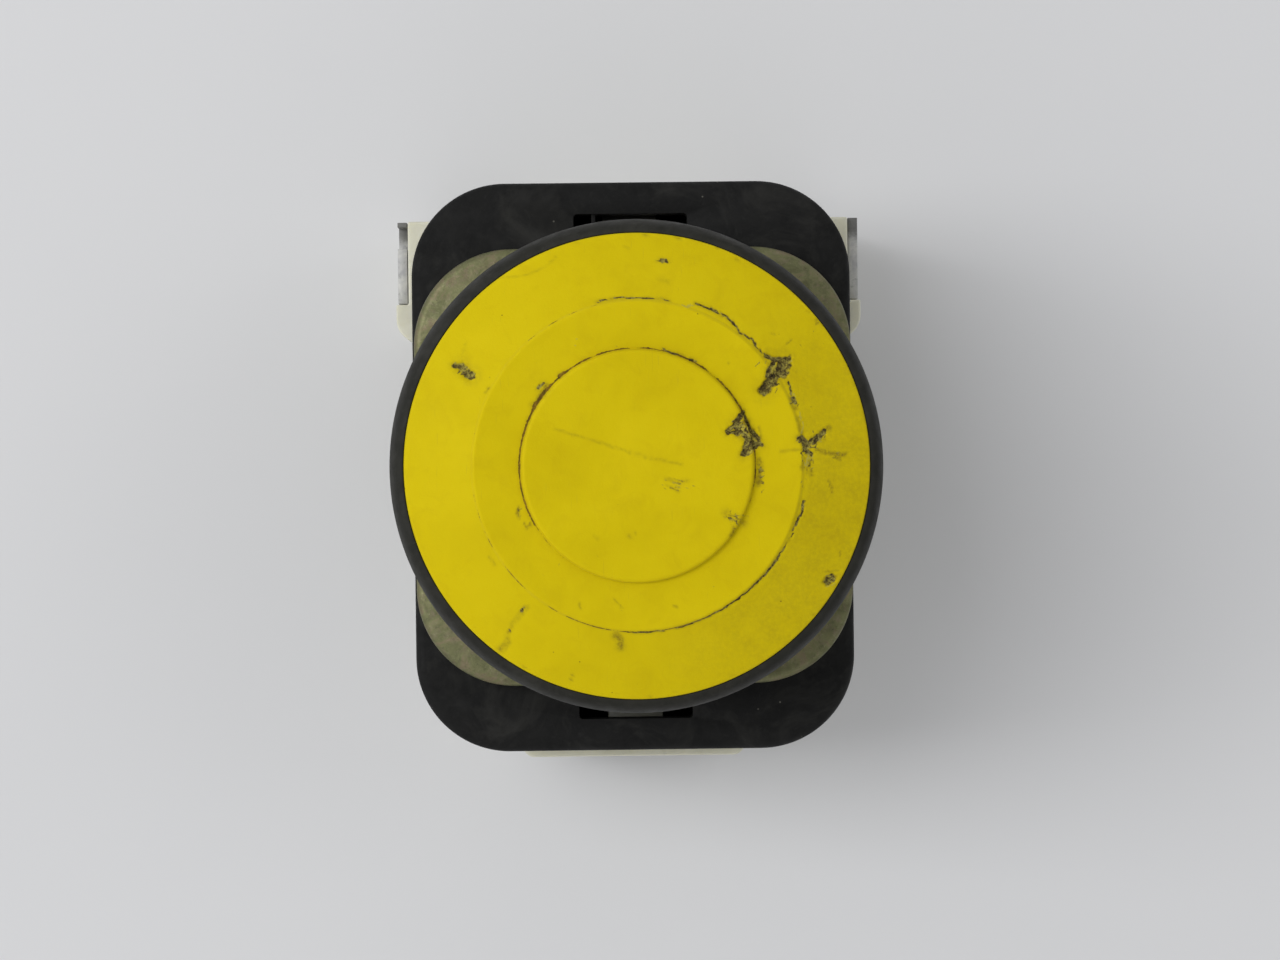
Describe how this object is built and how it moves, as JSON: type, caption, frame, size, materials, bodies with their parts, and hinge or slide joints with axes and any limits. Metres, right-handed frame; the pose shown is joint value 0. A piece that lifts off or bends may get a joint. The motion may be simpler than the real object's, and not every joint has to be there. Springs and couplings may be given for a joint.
{
  "type": "emergency stop button",
  "caption": "Panel-mount push-pull emergency stop with a stepped yellow mushroom head, zinc base with threaded collar, black contact carrier and nylon contact block.",
  "frame": {"origin": "on the push axis, on the flat rear face of the contact block that the unmounted part stands on", "axes": "+Z along the push axis, out through the head; +Y towards the contact block's two side terminals; +X to the right of someone who faces the head with +Y up"},
  "size_m": [0.049, 0.0591, 0.0758],
  "materials": {
    "yellow_plastic": "moulded yellow plastic, satin, scuffed and gouged",
    "head_black": "moulded black plastic, satin",
    "carrier_black": "moulded black phenolic, fine matte grain",
    "natural_nylon": "natural translucent nylon",
    "white_nylon": "off-white moulded nylon",
    "chromated_zinc": "die-cast zinc with an iridescent yellow chromate",
    "plated_steel": "zinc-plated steel",
    "spring_steel": "bright spring steel",
    "brass": "bare brass strip",
    "silver": "silver contact alloy",
    "black_rubber": "matte black rubber"
  },
  "bodies": {
    "housing": {"operator_base": "chromated_zinc", "guide_bushing": "white_nylon", "panel_gasket": "black_rubber", "trim_washer": "plated_steel", "ring_nut": "chromated_zinc", "wiper_boot": "black_rubber", "detent_spring": "spring_steel", "detent_retainer": "plated_steel", "retainer_screw_left": "plated_steel", "retainer_screw_right": "plated_steel", "contact_carrier": "carrier_black", "carrier_back_plate": "carrier_black", "carrier_screw_left": "plated_steel", "carrier_screw_right": "plated_steel", "contact_housing": "natural_nylon", "contact_cover": "natural_nylon", "cover_screw_upper": "plated_steel", "cover_screw_lower": "plated_steel", "nc_terminal_left": "plated_steel", "nc_terminal_right": "plated_steel", "nc_fixed_tip_left": "silver", "nc_fixed_tip_right": "silver", "nc_clamp_left": "plated_steel", "nc_clamp_right": "plated_steel", "nc_terminal_screw_left": "plated_steel", "nc_terminal_screw_right": "plated_steel", "no_terminal_left": "brass", "no_terminal_right": "brass", "no_fixed_tip_left": "silver", "no_fixed_tip_right": "silver", "no_clamp_left": "plated_steel", "no_clamp_right": "plated_steel", "no_terminal_screw_left": "plated_steel", "no_terminal_screw_right": "plated_steel", "nc_return_spring": "spring_steel", "no_return_spring": "spring_steel"},
    "head": {"head_cap": "head_black", "head_insert": "yellow_plastic", "head_screw": "plated_steel", "head_lock_washer": "spring_steel", "stem": "plated_steel", "stem_clip": "spring_steel", "actuator_plate": "white_nylon", "actuator_screw": "plated_steel"},
    "nc_contact": {"nc_plunger": "white_nylon", "nc_bridge": "brass", "nc_bridge_tip_left": "silver", "nc_bridge_tip_right": "silver", "nc_contact_spring": "spring_steel"},
    "no_contact": {"no_plunger": "white_nylon", "no_bridge": "brass", "no_bridge_tip_left": "silver", "no_bridge_tip_right": "silver", "no_contact_spring": "spring_steel"}
  },
  "joints": [
    {"name": "head_press", "type": "slide", "parent": "housing", "child": "head", "axis": [0, 0, -1], "range_m": [0, 0.006], "deforming": ["wiper_boot", "detent_spring"]},
    {"name": "nc_plunger_slide", "type": "slide", "parent": "housing", "child": "nc_contact", "axis": [0, 0, -1], "range_m": [0, 0.006], "deforming": ["nc_return_spring"]},
    {"name": "no_plunger_slide", "type": "slide", "parent": "housing", "child": "no_contact", "axis": [0, 0, -1], "range_m": [0, 0.006], "deforming": ["no_return_spring"]}
  ],
  "couplings": [
    {"joint": "nc_plunger_slide", "follows": "head_press", "ratio": 1},
    {"joint": "no_plunger_slide", "follows": "head_press", "ratio": 1}
  ]
}
